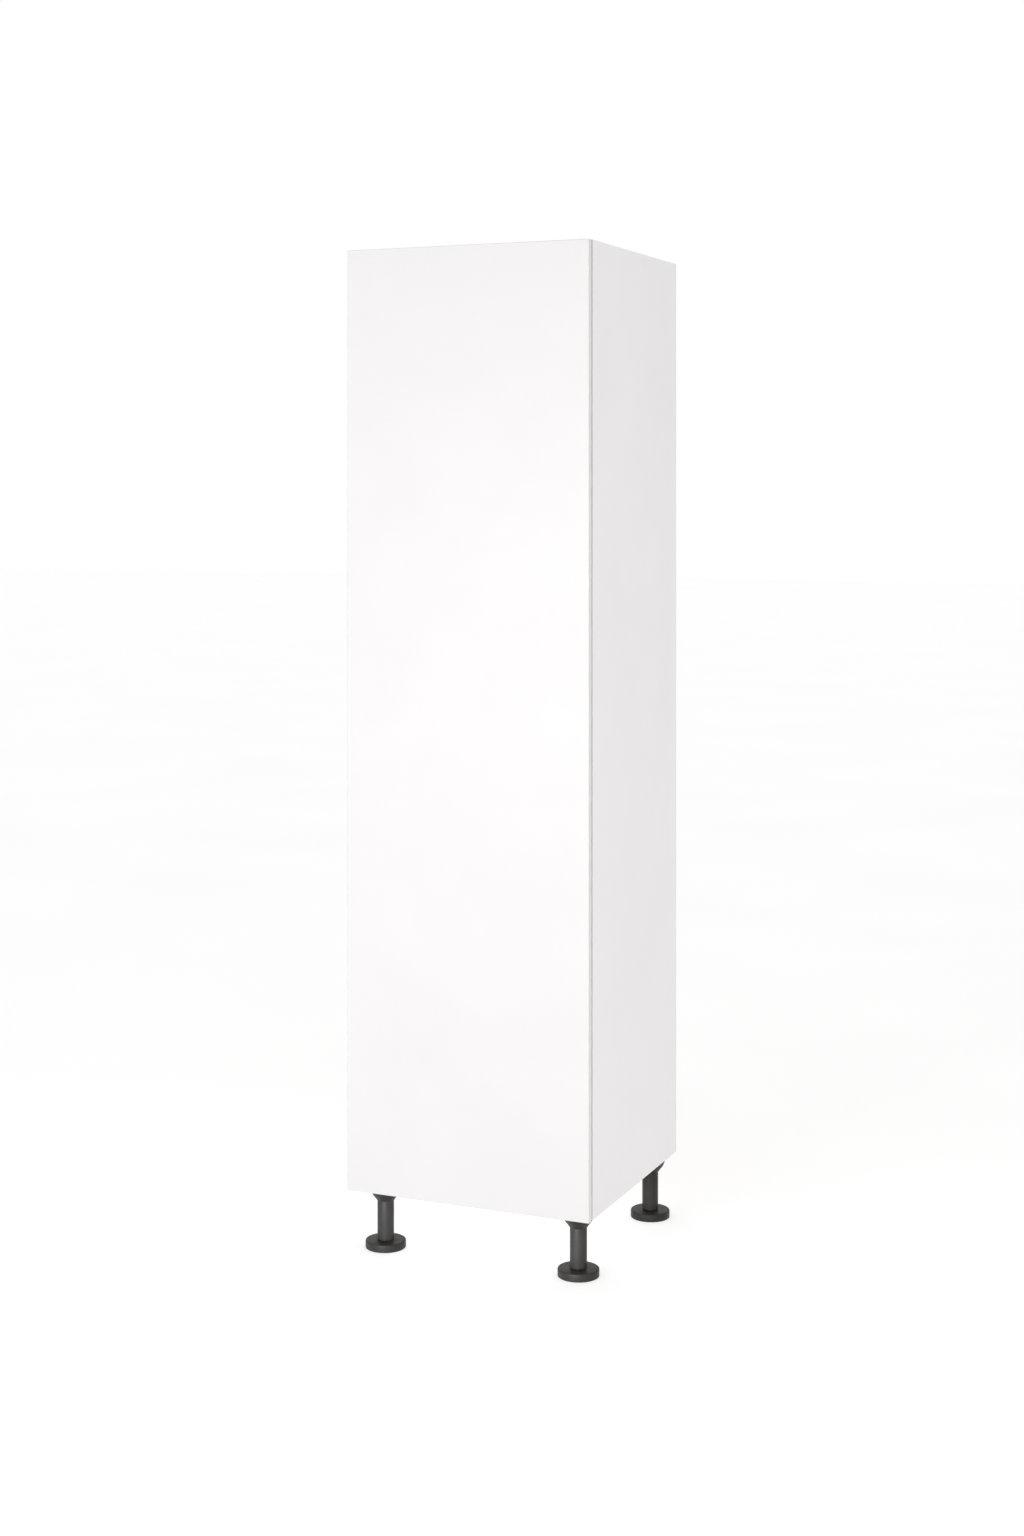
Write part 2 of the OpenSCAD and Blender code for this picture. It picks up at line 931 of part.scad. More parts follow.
module door_panel() {
    color("white")
        difference() {
            block(
                [-door_x + band_t, door_front_y, door_z + band_t],
                [door_x - band_t, door_back_y, z_top - band_t]
            );
            at_hinges() {
                bar_y([cup_u, door_gap - eps, 0], cup_d / 2, cup_depth + eps);
                for (s = [-1, 1])
                    bar_y(
                        [cup_screw_u, door_gap - eps, s * cup_screw_span / 2],
                        cup_screw_d / 2 + fit_gap, cup_screw_depth + eps
                    );
            }
        }
}

module door_edge_bands() {
    color("gainsboro") {
        for (side = [-1, 1])
            on_side(side)
                block([door_x - band_t, door_front_y, door_z], [door_x, door_back_y, z_top]);
        for (z = [door_z, z_top - band_t])
            block(
                [-door_x + band_t + band_gap, door_front_y, z],
                [door_x - band_t - band_gap, door_back_y, z + band_t]
            );
    }
}

// Soft discs between the door and the edge of the right side panel
module door_bumpers() {
    t = door_gap - seat_gap;
    color("whitesmoke")
        for (z = [z_base + 2 * bumper_in, z_top - 2 * bumper_in])
            bar_y([cab_w / 2 - bumper_in, door_back_y, z], bumper_r, t);
}

// Push latches

module spring_coil(r, l, wire, turns) {
    steps = 8;
    sides = 6;
    rings = turns * steps;
    function ring_point(i, k) = let (
        a = 360 * i / steps,
        b = 360 * k / sides,
        reach = r + wire / 2 * cos(b)
    ) [reach * cos(a), reach * sin(a), l * i / rings + wire / 2 * sin(b)];
    points = [for (i = [0:rings]) for (k = [0:sides - 1]) ring_point(i, k)];
    walls = [
        for (i = [0:rings - 1]) for (k = [0:sides - 1]) for (half = [0, 1])
            let (a = i * sides + k, b = i * sides + (k + 1) % sides)
                half == 0 ? [a, a + sides, b] : [b, a + sides, b + sides]
    ];
    start_cap = [for (k = [1:sides - 2]) [0, k, k + 1]];
    end_cap = [
        for (k = [1:sides - 2]) [rings * sides, rings * sides + k + 1, rings * sides + k]
    ];
    polyhedron(points, concat(walls, start_cap, end_cap));
}

module latch_housing(z) {
    inner = latch_y + latch_wall;
    color("whitesmoke")
        translate([0, 0, z])
            difference() {
                union() {
                    block(
                        [x_in - latch_w, latch_y, -latch_h / 2],
                        [x_in, latch_y + latch_l, latch_h / 2]
                    );
                    block(
                        [x_in - ear_t, ear_y - ear_l / 2, -latch_h / 2 - ear_h],
                        [x_in, ear_y + ear_l / 2, latch_h / 2 + ear_h]
                    );
                }
                bar_y([latch_x, latch_y - eps, 0], plunger_d / 2 + run_gap, latch_wall + 2 * eps);
                bar_y([latch_x, inner, 0], latch_bore_r, latch_l - 2 * latch_wall);
                for (s = [-1, 1])
                    bar_x(
                        [x_in - ear_t - eps, ear_y, s * ear_z],
                        ear_screw_d / 2 + fit_gap, ear_t + 2 * eps
                    );
            }
}

module latch_housing_lower() {
    latch_housing(latch_zs[0]);
}

module latch_housing_upper() {
    latch_housing(latch_zs[1]);
}

// A plunger with a collar that keeps it in its housing
module latch_plunger(z) {
    color("dimgray") {
        bar_y([latch_x, plunger_tip, z], plunger_d / 2, plunger_foot - plunger_tip);
        bar_y([latch_x, plunger_foot, z], latch_bore_r - 2 * run_gap, plunger_collar_l);
    }
}

module latch_plunger_lower() {
    latch_plunger(latch_zs[0]);
}

module latch_plunger_upper() {
    latch_plunger(latch_zs[1]);
}

module latch_springs() {
    start = plunger_foot + plunger_collar_l + seat_gap + spring_wire / 2;
    end = latch_y + latch_l - latch_wall - spring_wire / 2;
    color("silver")
        for (z = latch_zs)
            translate([latch_x, start, z])
                rotate([-90, 0, 0])
                    spring_coil(
                        latch_bore_r - spring_wire, end - start, spring_wire, spring_turns
                    );
}

module latch_screws() {
    color("silver")
        for (z = latch_zs)
            for (s = [-1, 1])
                translate([x_in - ear_t, ear_y, z + s * ear_z])
                    mirror([1, 0, 0])
                        screw_x(ear_screw_d, ear_t + pin_hole_depth - tip_gap, ear_screw_head);
}

module latch_strikes() {
    color("silver")
        for (z = latch_zs)
            bar_y([latch_x, door_back_y, z], strike_r, strike_t);
}

// Legs

// Runs for the screws of the leg at a place, with the flange's flat side outwards
module at_leg_screws(place) {
    translate([place[0], place[1], 0])
        for (turn = [45:90:315])
            rotate([0, 0, turn])
                translate([leg_screw_r, 0, 0])
                    children();
}

// A socket seen from its side: a rim under the board, a cone and a stepped collar
module socket_outline(mouth_r) {
    rim_r = socket_flange_d / 2;
    low = leg_h - socket_h;
    flange_z = leg_h - flange_h;
    polygon([
        [0, leg_h],
        [rim_r, leg_h],
        [rim_r, leg_h - rim_h],
        [rim_r - rim_bevel[0], leg_h - rim_h - rim_bevel[1]],
        [collar_r, flange_z],
        [collar_r - 3, flange_z - 3.5],
        [mouth_r + 5.2, low + 5.5],
        [mouth_r + 2.7, low + 2.2],
        [mouth_r + 1.3, low],
        [0, low]
    ]);
}

// The socket's flange is cut flat on its outer side
module leg_socket(place) {
    mouth_r = column_d / 2 + fit_gap;
    flange_z = leg_h - flange_h;
    color("darkslategray")
        translate([place[0], place[1], 0])
            difference() {
                intersection() {
                    rotate_extrude()
                        socket_outline(mouth_r);
                    on_side(sign(place[0]))
                        block(
                            [-socket_flange_d, -socket_flange_d, 0],
                            [socket_flat, socket_flange_d, leg_h]
                        );
                }
                bar_z([0, 0, leg_h - socket_h - eps], mouth_r, socket_h - socket_roof + eps);
                translate([-place[0], -place[1], 0])
                    at_leg_screws(place) {
                        bar_z(
                            [0, 0, flange_z - eps],
                            leg_screw_head[0] / 2 + seat_gap, flange_h - leg_screw_seat + eps
                        );
                        bar_z([0, 0, flange_z], leg_screw_d / 2 + fit_gap, flange_h + eps);
                    }
            }
}

// A column: a tube with a thick lower end that guides the foot's stem
module leg_column(place) {
    r = column_d / 2;
    color("darkslategray")
        translate([place[0], place[1], 0])
            difference() {
                rotate_extrude()
                    polygon([
                        [0, column_base],
                        [r - column_bevel, column_base],
                        [r, column_base + column_bevel],
                        [r, column_top],
                        [0, column_top]
                    ]);
                bar_z([0, 0, 0], stem_d / 2 + run_gap, leg_h);
                bar_z([0, 0, column_base + stem_bed], r - column_wall, leg_h);
            }
}

// A foot: a round-edged disc with the stem that raises and lowers it
module foot(place) {
    r = foot_d / 2;
    e = foot_edge_r;
    arc = [for (a = [-90:15:0]) [r - e + e * cos(a), e + e * sin(a)]];
    arc_top = [for (a = [0:15:90]) [r - e + e * cos(a), foot_t - e + e * sin(a)]];
    color("darkslategray")
        translate([place[0], place[1], 0])
            rotate_extrude($fn = 64)
                polygon(concat(
                    [[0, 0]],
                    arc,
                    arc_top,
                    [
                        [stem_d / 2, foot_t],
                        [stem_d / 2, stem_top - stem_bevel],
                        [stem_d / 2 - stem_bevel, stem_top],
                        [0, stem_top]
                    ]
                ));
}

module leg_socket_front_left() {
    leg_socket(leg_places[0]);
}

module leg_socket_front_right() {
    leg_socket(leg_places[1]);
}

module leg_socket_back_left() {
    leg_socket(leg_places[2]);
}

module leg_socket_back_right() {
    leg_socket(leg_places[3]);
}

module leg_column_front_left() {
    leg_column(leg_places[0]);
}

module leg_column_front_right() {
    leg_column(leg_places[1]);
}

module leg_column_back_left() {
    leg_column(leg_places[2]);
}

module leg_column_back_right() {
    leg_column(leg_places[3]);
}

module foot_front_left() {
    foot(leg_places[0]);
}

module foot_front_right() {
    foot(leg_places[1]);
}

module foot_back_left() {
    foot(leg_places[2]);
}

module foot_back_right() {
    foot(leg_places[3]);
}

module leg_screws() {
    l = leg_screw_seat + leg_screw_depth - tip_gap;
    color("silver")
        for (p = leg_places)
            at_leg_screws(p)
                translate([0, 0, leg_h - leg_screw_seat])
                    rotate([0, 90, 0])
                        screw_x(leg_screw_d, l, leg_screw_head);
}

side_panel_left();
side_panel_right();
top_panel();
bottom_panel();
fixed_shelf();
shelf_1();
shelf_2();
shelf_3();
shelf_4();
back_panel_lower();
back_panel_upper();
back_joint_strip();
wall_rail_bottom();
wall_rail_middle();
wall_rail_top();
carcass_edge_bands();
shelf_edge_bands();
cam_locks();
cam_bolts();
cam_caps();
wood_dowels();
shelf_pins();
hinge_plates();
hinge_plate_screws();
hinge_arms();
hinge_adjust_screws();
latch_housing_lower();
latch_housing_upper();
latch_springs();
latch_screws();
leg_socket_front_left();
leg_socket_front_right();
leg_socket_back_left();
leg_socket_back_right();
leg_column_front_left();
leg_column_front_right();
leg_column_back_left();
leg_column_back_right();
leg_screws();
foot_front_left();
foot_front_right();
foot_back_left();
foot_back_right();
door_panel();
door_edge_bands();
hinge_cups();
hinge_pins();
hinge_cup_screws();
door_bumpers();
latch_strikes();
latch_plunger_lower();
latch_plunger_upper();
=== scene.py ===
"""The looks of a tall kitchen cabinet: a white larder unit with one slab door on four dark legs."""

import math

import bpy
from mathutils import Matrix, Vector


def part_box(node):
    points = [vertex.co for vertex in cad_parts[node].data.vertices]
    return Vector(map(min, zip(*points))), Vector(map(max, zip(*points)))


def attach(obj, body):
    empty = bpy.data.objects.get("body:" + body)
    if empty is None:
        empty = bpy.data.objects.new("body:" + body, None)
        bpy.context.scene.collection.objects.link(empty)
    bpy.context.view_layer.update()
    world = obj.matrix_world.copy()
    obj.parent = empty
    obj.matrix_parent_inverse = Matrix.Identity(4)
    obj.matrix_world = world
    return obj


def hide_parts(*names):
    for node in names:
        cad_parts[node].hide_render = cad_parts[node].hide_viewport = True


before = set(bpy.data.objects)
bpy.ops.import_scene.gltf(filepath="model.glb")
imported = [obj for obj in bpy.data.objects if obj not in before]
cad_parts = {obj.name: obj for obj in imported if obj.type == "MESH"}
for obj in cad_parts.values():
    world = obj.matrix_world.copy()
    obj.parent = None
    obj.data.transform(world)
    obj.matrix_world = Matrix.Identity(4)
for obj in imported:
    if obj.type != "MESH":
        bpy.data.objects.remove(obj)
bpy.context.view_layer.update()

bl_info = {
    "name": "Tall kitchen cabinet",
    "version": (1, 0, 0),
    "blender": (4, 5, 0),
    "location": "View3D > Sidebar > Cabinet",
    "description": "Dresses the packed cabinet: rounded bands, legs, hinges and latches with their finishes",
    "category": "Object",
}

MM = 0.001
LEGS = ("front_left", "front_right", "back_left", "back_right")
finishes = {}

# Patterns: the stretch of values that a noise mostly has, and the wave texture's scale for one band to a unit
NOISE_LOW = 0.35
NOISE_HIGH = 0.65
ONE_BAND = 0.314

# Boards: how much of its normal lies along an axis when a face looks that way, and how deep its skin counts
FACING = 0.7
SKIN = 0.4 * MM

# Meshes: the distances for merging corners, in metres, and the angles in degrees past which an edge is no
# longer flat, is sharp to the bevel, and is sharp to the shading
WELD = 0.001 * MM
CAD_WELD = 0.002 * MM
FLAT_ANGLE = 0.4
SHARP_ANGLE = 32
SMOOTH_ANGLE = 35

# The camera that took the photograph, in metres, degrees and millimetres of lens
EYE = (2.0667, -4.8025, 1.7415)
EYE_TURN = 23.39
EYE_LENS = 51.74
EYE_SHIFT = -0.176

# The floor, in metres
FLOOR_REACH = 40
FLOOR_THICK = 0.06
FLOOR_GAP = 0.1 * MM

# The soft lights: place, aim, and width and height, in metres
KEY_LIGHT = ((-0.7, -3.3, 1.35), (0, 0, 1.15), (1.4, 1.6))
FILL_LIGHT = ((3.0, -2.5, 1.35), (0, 0, 1.15), (0.9, 1.4))
LOW_LIGHT = ((0.15, -3.2, 0.4), (0.05, 0, 0.08), (0.7, 0.5))

# The sky: the level direction of its brightest part, how squarely that way it is at full strength, and its
# strength everywhere else
SKY_WAY = (-0.397, 0.918, 0)
SKY_FULL = 0.8
SKY_LEAST = 0.5

# The foot's screw, as radii in millimetres
STEM = 6.7
STEM_TIP = 5.7
THREAD_ROOT = 6.4
THREAD_CREST = 8.0

# The foot's disc, in millimetres: the hollow in its sole, the ring that it stands on, the radius of that
# ring's outer edge, and the radius of the flat round the stem
SOLE_HOLLOW = 1.2
SOLE_RING = 7
SOLE_EDGE = 1.5
STEM_FLAT = 12

# Painted shade on the sockets and feet: they are the columns' plastic darkened to this part of its colour
SOCKET_PAINTED_SHADE = 0.7


# Colour and nodes


def linear(value):
    """The linear colour of an sRGB hex value."""
    channels = [int(value[i:i + 2], 16) / 255 for i in (1, 3, 5)]
    return tuple(c / 12.92 if c <= 0.04045 else ((c + 0.055) / 1.055) ** 2.4 for c in channels) + (1.0,)


def darker(colour, part):
    """The same colour with that part of its light."""
    return tuple(part * channel for channel in colour[:3]) + (1.0,)


def add(tree, kind, settings=None, links=None):
    """Adds a node, gives it its settings, and links its inputs to other nodes' outputs."""
    node = tree.nodes.new(kind)
    for key, value in (settings or {}).items():
        if isinstance(key, str) and hasattr(node, key):
            setattr(node, key, value)
        else:
            node.inputs[key].default_value = value
    for key, source in (links or {}).items():
        tree.links.new(source, node.inputs[key])
    return node


def start_finish(name, **shader):
    """Starts a material: its node tree, its shader with plain values, and its object coordinates."""
    material = bpy.data.materials.new(name)
    material.use_nodes = True
    tree = material.node_tree
    surface = tree.nodes["Principled BSDF"]
    for key, value in shader.items():
        surface.inputs[key.replace("_", " ")].default_value = value
    return material, tree, surface, add(tree, "ShaderNodeTexCoord")


def end_finish(tree, surface, **sources):
    """Links the finish's patterns to its shader, and its relief, if it has one, in millimetres of depth."""
    height, depth = sources.pop("relief", (None, 0))
    if height:
        raised = add(tree, "ShaderNodeBump", {"Distance": depth * MM}, {"Height": height})
        sources["Normal"] = raised.outputs[0]
    for key, source in sources.items():
        tree.links.new(source, surface.inputs[key.replace("_", " ")])


def wander(tree, place, size, low, high, detail=2, pull=(1, 1, 1)):
    """A value that wanders from low to high and back over so many millimetres, pulled out along an axis."""
    pulled = add(tree, "ShaderNodeMapping", {"Scale": tuple(1 / p for p in pull)},
                 {"Vector": place.outputs["Object"]})
    drift = add(tree, "ShaderNodeTexNoise", {"Scale": 1 / (size * MM), "Detail": detail},
                {"Vector": pulled.outputs[0]})
    part = add(tree, "ShaderNodeMapRange",
               {"From Min": NOISE_LOW, "From Max": NOISE_HIGH, "To Min": low, "To Max": high},
               {"Value": drift.outputs["Fac"]})
    return part.outputs[0]


def two_shades(tree, place, size, first, second, detail=3, pull=(1, 1, 1)):
    """Two shades that drift into each other over so many millimetres, as resin, pigment and plating do."""
    mixed = add(tree, "ShaderNodeMix", {"data_type": "RGBA", 6: first, 7: second},
                {0: wander(tree, place, size, 0, 1, detail, pull)})
    return mixed.outputs[2]


# The finishes


def chipboard(tree, place):
    """Raw chipboard, sawn: flakes of wood about 2.6 mm long, pressed flat in resin, some of them dark."""
    flat = add(tree, "ShaderNodeMapping", {"Scale": (1, 1, 1.6)}, {"Vector": place.outputs["Object"]})
    flakes = add(tree, "ShaderNodeTexVoronoi", {"Scale": 1 / (2.6 * MM)}, {"Vector": flat.outputs[0]})
    parts = add(tree, "ShaderNodeSeparateColor", None, {0: flakes.outputs["Color"]})
    pale = add(tree, "ShaderNodeMix", {"data_type": "RGBA", 6: linear("#B8946A"), 7: linear("#D3B589")},
               {0: parts.outputs[0]})
    dark = add(tree, "ShaderNodeMath", {"operation": "GREATER_THAN", 1: 0.82}, {0: parts.outputs[1]})
    wood = add(tree, "ShaderNodeMix", {"data_type": "RGBA", 7: linear("#8A6A48")},
               {0: dark.outputs[0], 6: pale.outputs[2]})
    return wood.outputs[2], flakes.outputs["Distance"]


def printed_faces(tree, place, axis, skins):
    """One where the board's surface looks along its axis, and lies at its two skins where they are given."""
    look = add(tree, "ShaderNodeSeparateXYZ", None, {0: place.outputs["Normal"]})
    size = add(tree, "ShaderNodeMath", {"operation": "ABSOLUTE"}, {0: look.outputs[axis]})
    face = add(tree, "ShaderNodeMath", {"operation": "GREATER_THAN", 1: FACING}, {0: size.outputs[0]})
    if not skins:
        return face.outputs[0]
    spot = add(tree, "ShaderNodeSeparateXYZ", None, {0: place.outputs["Object"]})
    out = add(tree, "ShaderNodeMath", {"operation": "ABSOLUTE"}, {0: spot.outputs[axis]})
    near = add(tree, "ShaderNodeMath", {"operation": "LESS_THAN", 1: skins[0] + SKIN}, {0: out.outputs[0]})
    far = add(tree, "ShaderNodeMath", {"operation": "GREATER_THAN", 1: skins[1] - SKIN}, {0: out.outputs[0]})
    skin = add(tree, "ShaderNodeMath", {"operation": "ADD"}, {0: near.outputs[0], 1: far.outputs[0]})
    both = add(tree, "ShaderNodeMath", {"operation": "MULTIPLY"}, {0: face.outputs[0], 1: skin.outputs[0]})
    return both.outputs[0]


def melamine(name, axis, colour, gloss, skins=None):
    """Melamine faced chipboard: paper pressed with resin, with a fine pearl texture and an even satin sheen.
    Its faces look along one axis. What looks any other way, or lies between its skins, is the raw core."""
    material, tree, surface, place = start_finish(name)
    face = printed_faces(tree, place, axis, skins)
    paper = two_shades(tree, place, 260, colour, darker(colour, 0.98))
    core, flakes = chipboard(tree, place)
    cover = add(tree, "ShaderNodeMix", {"data_type": "RGBA"}, {0: face, 6: core, 7: paper})
    sheen = wander(tree, place, 45, gloss - 0.03, gloss + 0.03)
    dull = add(tree, "ShaderNodeMapRange", {"To Min": 0.85}, {"Value": face, "To Max": sheen})
    # The real pearl is about 1 mm wide, which no render of a cabinet shows, so it is drawn at 4 mm.
    pearl = wander(tree, place, 4, 0, 0.04)
    height = add(tree, "ShaderNodeMapRange", None, {"Value": face, "To Min": flakes, "To Max": pearl})
    end_finish(tree, surface, Base_Color=cover.outputs[2], Roughness=dull.outputs[0],
               relief=(height.outputs[0], 0.25))
    return material


def hardboard():
    """Hardboard: pressed wood fibre, lacquered white on its inner face, and bare brown behind, where it has
    the print of a wire screen."""
    material, tree, surface, place = start_finish("Lacquered hardboard")
    look = add(tree, "ShaderNodeSeparateXYZ", None, {0: place.outputs["Normal"]})
    inside = add(tree, "ShaderNodeMath", {"operation": "LESS_THAN", 1: -FACING}, {0: look.outputs[1]})
    fibre = two_shades(tree, place, 7, linear("#7A5A3C"), linear("#A3815B"), 8)
    brown = add(tree, "ShaderNodeMix", {"data_type": "RGBA", 7: linear("#94724E")},
                {0: wander(tree, place, 180, 0, 0.5), 6: fibre})
    lacquer = two_shades(tree, place, 180, linear("#EFEEEC"), linear("#EAE9E6"))
    cover = add(tree, "ShaderNodeMix", {"data_type": "RGBA"},
                {0: inside.outputs[0], 6: brown.outputs[2], 7: lacquer})
    sheen = add(tree, "ShaderNodeMapRange", {"To Min": 0.82, "To Max": 0.48}, {"Value": inside.outputs[0]})
    # The real screen has a wire each 1.5 mm. It is drawn at 5 mm so that it shows.
    wires = [add(tree, "ShaderNodeTexWave",
                 {"bands_direction": way, "Scale": ONE_BAND / (5 * MM), "Distortion": 0.4},
                 {"Vector": place.outputs["Object"]}) for way in ("X", "Z")]
    screen = add(tree, "ShaderNodeMath", {"operation": "MULTIPLY"},
                 {0: wires[0].outputs["Fac"], 1: wires[1].outputs["Fac"]})
    height = add(tree, "ShaderNodeMapRange", None,
                 {"Value": inside.outputs[0], "To Min": screen.outputs[0],
                  "To Max": wander(tree, place, 6, 0, 0.05)})
    end_finish(tree, surface, Base_Color=cover.outputs[2], Roughness=sheen.outputs[0],
               relief=(height.outputs[0], 0.35))
    return material


def moulded(name, colour, drift, gloss, grit, depth, specular=0.5):
    """A moulded plastic: the mould's spark eroded grit in fine relief, a little uneven in colour and gloss.
    Grit and depth are in millimetres."""
    material, tree, surface, place = start_finish(name, IOR=1.49, Specular_IOR_Level=specular)
    end_finish(tree, surface, Base_Color=two_shades(tree, place, 30, colour, darker(colour, drift)),
               Roughness=wander(tree, place, 12, gloss - 0.05, gloss + 0.05),
               relief=(wander(tree, place, grit, 0, 0.3, 3), depth))
    return material


def metal(name, light, dark, gloss, patchy, size, depth, pull=(1, 1, 1)):
    """A bare or plated metal: its colour and gloss wander a little with the plating, over a fine relief.
    Size and depth are in millimetres."""
    material, tree, surface, place = start_finish(name, Metallic=1.0)
    end_finish(tree, surface, Base_Color=two_shades(tree, place, 9, linear(light), linear(dark), 4),
               Roughness=wander(tree, place, size, gloss - patchy, gloss + patchy, 3, pull),
               relief=(wander(tree, place, size, 0, 0.3, 3, pull), depth))
    return material


def beech():
    """Beech, turned and fluted into dowels: pale pinkish wood with short dark flecks along the grain."""
    material, tree, surface, place = start_finish("Beech", Roughness=0.6)
    years = (14, 1, 1)
    wood = two_shades(tree, place, 2, linear("#D9B48A"), linear("#C59A6C"), 3, years)
    flecks = add(tree, "ShaderNodeMapRange", {"From Min": 0.9, "To Max": 0.6},
                 {"Value": wander(tree, place, 0.8, 0, 1, 1, (6, 1, 1))})
    cover = add(tree, "ShaderNodeMix", {"data_type": "RGBA", 7: linear("#8E6440")},
                {0: flecks.outputs[0], 6: wood})
    end_finish(tree, surface, Base_Color=cover.outputs[2],
               relief=(wander(tree, place, 2, 0, 0.3, 3, years), 0.08))
    return material


def soft_rubber():
    """Cast polyurethane: clear, slightly milky and soft, as door bumpers are."""
    material, tree, surface, place = start_finish("Clear polyurethane", IOR=1.49, Transmission_Weight=0.6)
    end_finish(tree, surface, Base_Color=two_shades(tree, place, 5, linear("#EDEFEA"), linear("#DFE2DC"), 2),
               Roughness=wander(tree, place, 5, 0.22, 0.34))
    return material


def floor_paper():
    """The studio's floor: a matt white paper, lit from within a little so that shadows stay faint."""
    material, tree, surface, place = start_finish("Studio paper", Roughness=0.9, Specular_IOR_Level=0.1,
                                                  Emission_Color=(1, 1, 1, 1), Emission_Strength=0.63)
    end_finish(tree, surface,
               Base_Color=two_shades(tree, place, 900, linear("#C0C0C0"), linear("#C3C3C3"), 2))
    return material


# Modelling by hand


def pick(piece):
    """Makes this the one selected object, or selects nothing, in object mode."""
    if bpy.context.mode != "OBJECT":
        bpy.ops.object.mode_set(mode="OBJECT")
    bpy.ops.object.select_all(action="DESELECT")
    if piece:
        piece.select_set(True)
        bpy.context.view_layer.objects.active = piece


def edit(piece, kind, test):
    """Enters edit mode with those of the piece's faces, edges or vertices selected that pass the test."""
    pick(piece)
    mesh = piece.data
    for name in ("polygons", "edges", "vertices"):
        for item in getattr(mesh, name):
            item.select = False
    bpy.context.tool_settings.mesh_select_mode = (kind == "vertices", kind == "edges", kind == "polygons")
    for item in getattr(mesh, kind):
        item.select = bool(test(item))
    bpy.ops.object.mode_set(mode="EDIT")


def settle(piece):
    """Leaves edit mode and applies the object's place, turn and scale, so that they are in its mesh."""
    pick(piece)
    bpy.ops.object.transform_apply(location=True, rotation=True, scale=True)
    return piece


def smooth(piece):
    """Shades the piece smooth across all but its sharp edges."""
    pick(piece)
    bpy.ops.object.shade_smooth_by_angle(angle=math.radians(SMOOTH_ANGLE))
    return piece


def block(low, high, radius, rounded):
    """A board or strip between two corners, with the edges rounded whose middle and run pass the test."""
    pick(None)
    bpy.ops.mesh.primitive_cube_add(size=1, location=(low + high) / 2)
    piece = bpy.context.object
    piece.scale = high - low
    settle(piece)
    corners = piece.data.vertices

    def chosen(edge):
        start, end = (corners[v].co for v in edge.vertices)
        return rounded((start + end) / 2, start - end)

    edit(piece, "edges", chosen)
    bpy.ops.mesh.bevel(offset=radius, segments=4, affect="EDGES", profile=0.5)
    return smooth(settle(piece))


def turned(profile, steps):
    """A round piece about the Z axis: a disc, then ring after ring extruded and resized along the profile,
    which is given as radii and levels in millimetres. It ends in a small disc, as it starts."""
    pick(None)
    radius, level = profile[0]
    bpy.ops.mesh.primitive_circle_add(vertices=steps, radius=radius * MM, fill_type="NGON",
                                      location=(0, 0, level * MM))
    piece = bpy.context.object
    settle(piece)
    edit(piece, "polygons", lambda face: True)
    for next_radius, next_level in profile[1:]:
        bpy.ops.mesh.extrude_region_move(TRANSFORM_OT_translate={"value": (0, 0, (next_level - level) * MM)})
        bpy.ops.transform.resize(value=(next_radius / radius,) * 2 + (1,),
                                 center_override=(0, 0, next_level * MM))
        radius, level = next_radius, next_level
    bpy.ops.mesh.select_all(action="SELECT")
    bpy.ops.mesh.remove_doubles(threshold=WELD)
    bpy.ops.mesh.normals_make_consistent(inside=False)
    return smooth(settle(piece))


def arc(radius, level, size, start, end, steps=6):
    """Points of an arc about (radius, level), from one angle to another in degrees."""
    turns = [math.radians(start + (end - start) * i / steps) for i in range(steps + 1)]
    return [(radius + size * math.cos(t), level + size * math.sin(t)) for t in turns]


def thread(bottom, pitch, turns):
    """A screw's ridge: its section wound up about the Z axis, with both ends closed. In millimetres."""
    pick(None)
    bpy.ops.mesh.primitive_plane_add(size=1, location=(0, 0, 0))
    ridge = bpy.context.object
    section = ((THREAD_ROOT, 0), (THREAD_CREST, 0.34), (THREAD_CREST, 0.56), (THREAD_ROOT, 0.9))
    for corner, (radius, part) in zip((0, 1, 3, 2), section):
        ridge.data.vertices[corner].co = (radius * MM, 0, (bottom + part * pitch) * MM)
    edit(ridge, "polygons", lambda face: True)
    bpy.ops.mesh.delete(type="ONLY_FACE")
    bpy.ops.object.mode_set(mode="OBJECT")
    wound = ridge.modifiers.new("Thread", "SCREW")
    wound.axis = "Z"
    wound.screw_offset = pitch * MM
    wound.iterations = turns
    wound.steps = wound.render_steps = 28
    pick(ridge)
    bpy.ops.object.modifier_apply(modifier=wound.name)
    edit(ridge, "edges", lambda edge: True)
    bpy.ops.mesh.remove_doubles(threshold=WELD)
    bpy.ops.mesh.select_all(action="DESELECT")
    bpy.ops.mesh.select_non_manifold()
    bpy.ops.mesh.fill_holes(sides=0)
    bpy.ops.mesh.select_all(action="SELECT")
    bpy.ops.mesh.normals_make_consistent(inside=False)
    return smooth(settle(ridge))


def solid_boxes(node):
    """The lowest and highest corner of each separate solid of a CAD node, found on a merged copy."""
    merged_copy(node)
    bpy.ops.mesh.separate(type="LOOSE")
    bpy.ops.object.mode_set(mode="OBJECT")
    boxes = []
    for part in list(bpy.context.selected_objects):
        corners = [v.co for v in part.data.vertices]
        boxes.append((Vector(map(min, zip(*corners))), Vector(map(max, zip(*corners)))))
    bpy.ops.object.delete()
    return boxes


def merged_copy(node):
    """A copy of a CAD node's mesh as one joined skin of flat faces, left in edit mode with all selected."""
    piece = bpy.data.objects.new(node + "_copy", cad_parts[node].data.copy())
    bpy.context.scene.collection.objects.link(piece)
    piece.data.materials.clear()
    pick(piece)
    bpy.ops.mesh.customdata_custom_splitnormals_clear()
    edit(piece, "polygons", lambda face: True)
    bpy.ops.mesh.remove_doubles(threshold=CAD_WELD)
    return piece


